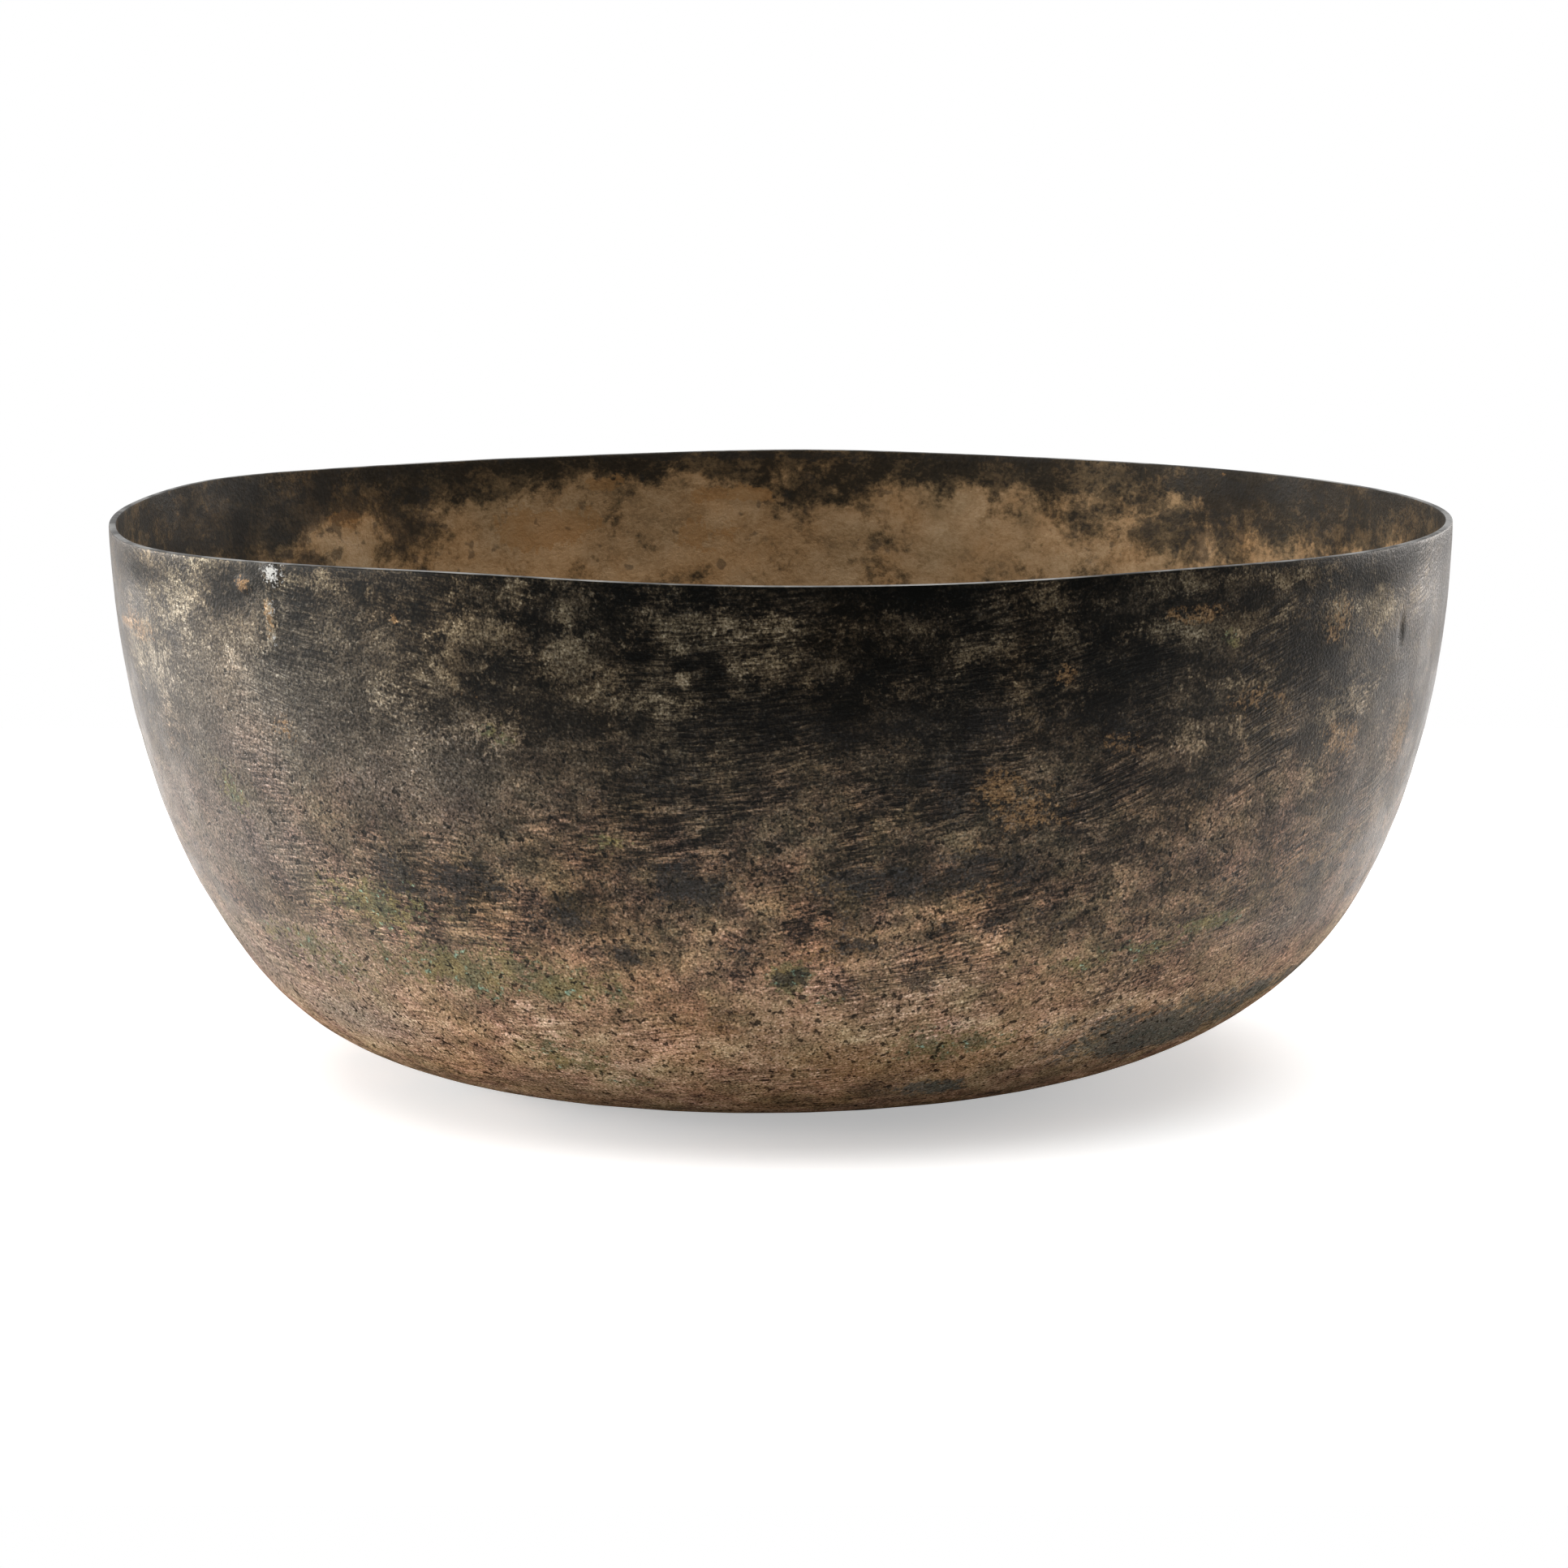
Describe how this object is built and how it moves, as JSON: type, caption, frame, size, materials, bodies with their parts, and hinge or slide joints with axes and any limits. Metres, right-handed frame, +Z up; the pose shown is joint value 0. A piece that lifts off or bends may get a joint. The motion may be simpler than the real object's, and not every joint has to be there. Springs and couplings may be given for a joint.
{
  "type": "bowl",
  "caption": "Deep round hammered copper bowl with a nearly upright wall, plain cut rim, gently out-of-round mouth and small flat foot, for holding, serving or display.",
  "frame": {"origin": "on the resting plane, under the middle of the mouth's bounding box", "axes": "+Z up through the mouth; -Y towards the near side of the bowl; X across"},
  "size_m": [0.3504, 0.35, 0.1473],
  "materials": {
    "aged_copper": "dark hand-hammered patina, satin"
  },
  "bodies": {
    "root": {"bowl": "aged_copper"}
  },
  "joints": []
}
